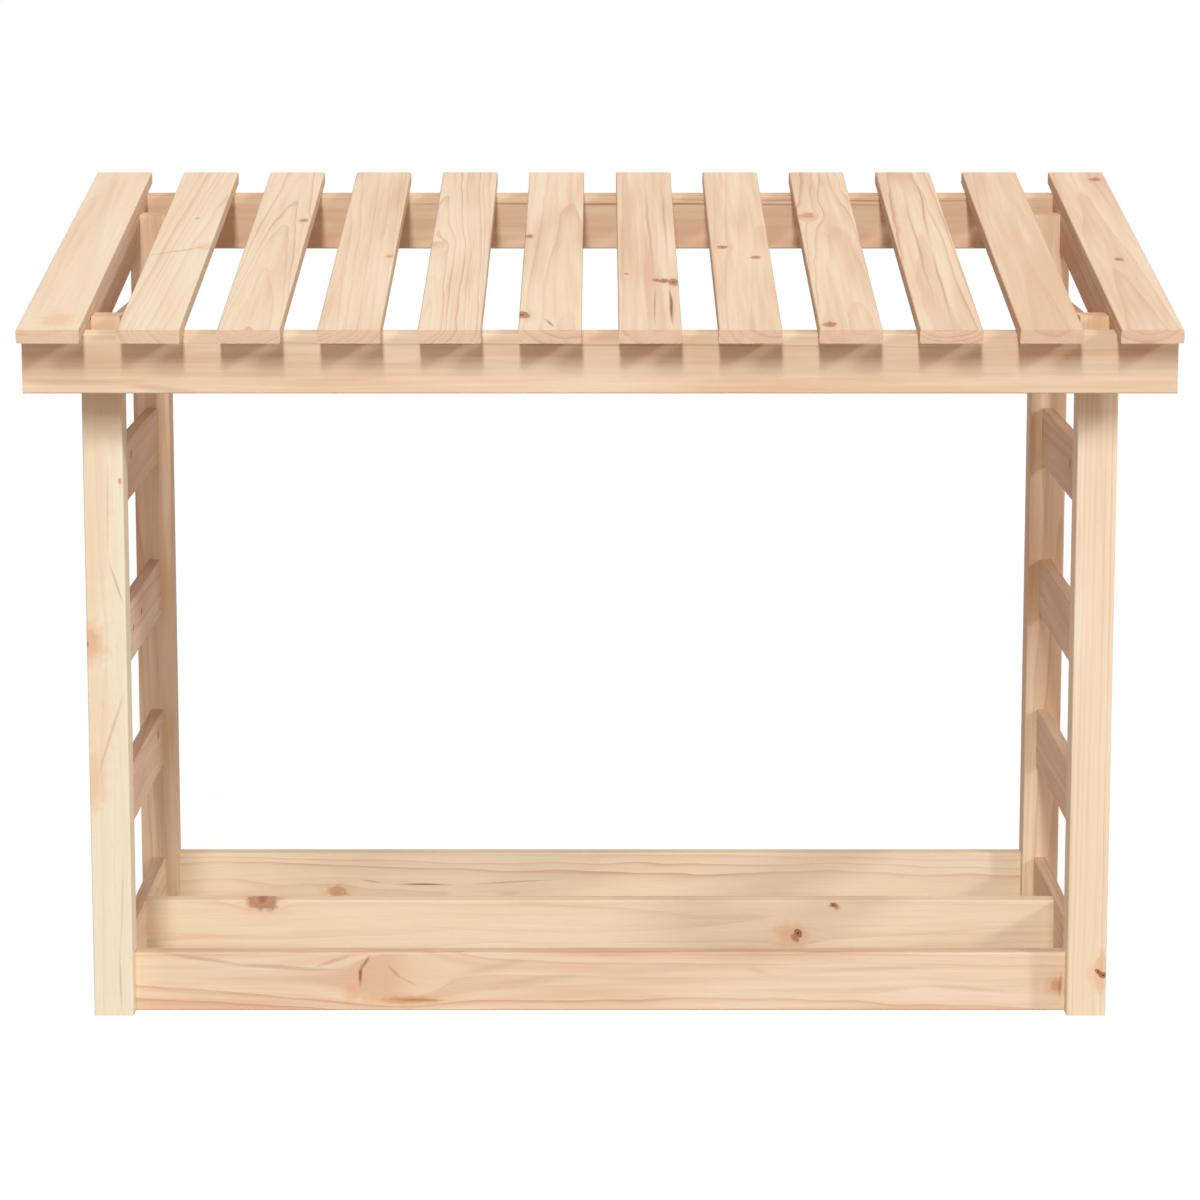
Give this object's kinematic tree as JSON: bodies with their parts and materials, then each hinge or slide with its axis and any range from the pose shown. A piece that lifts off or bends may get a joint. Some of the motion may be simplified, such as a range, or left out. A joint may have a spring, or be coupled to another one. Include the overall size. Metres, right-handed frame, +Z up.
{
  "type": "log store",
  "caption": "Open pine rack for firewood with slatted sides, ground rails and a slatted roof that falls towards the front.",
  "frame": {"origin": "on the ground, under the middle of the roof's outline", "axes": "+X to the right seen from the front, -Y towards the front, +Z up"},
  "size_m": [1.08, 0.645, 0.7827],
  "materials": {
    "post_pine": "bare planed pine",
    "board_pine": "bare planed pine",
    "roof_pine": "bare planed pine"
  },
  "bodies": {
    "root": {"front_left_post": "post_pine", "back_left_post": "post_pine", "left_ground_rail": "board_pine", "left_side_slat_1": "board_pine", "left_side_slat_2": "board_pine", "left_side_slat_3": "board_pine", "left_top_slat": "board_pine", "left_rafter": "board_pine", "front_right_post": "post_pine", "back_right_post": "post_pine", "right_ground_rail": "board_pine", "right_side_slat_1": "board_pine", "right_side_slat_2": "board_pine", "right_side_slat_3": "board_pine", "right_top_slat": "board_pine", "right_rafter": "board_pine", "front_rail": "board_pine", "middle_rail": "board_pine", "back_rail": "board_pine", "front_beam": "board_pine", "back_beam": "board_pine", "roof_slat_01": "roof_pine", "roof_slat_02": "roof_pine", "roof_slat_03": "roof_pine", "roof_slat_04": "roof_pine", "roof_slat_05": "roof_pine", "roof_slat_06": "roof_pine", "roof_slat_07": "roof_pine", "roof_slat_08": "roof_pine", "roof_slat_09": "roof_pine", "roof_slat_10": "roof_pine", "roof_slat_11": "roof_pine", "roof_slat_12": "roof_pine"}
  },
  "joints": []
}
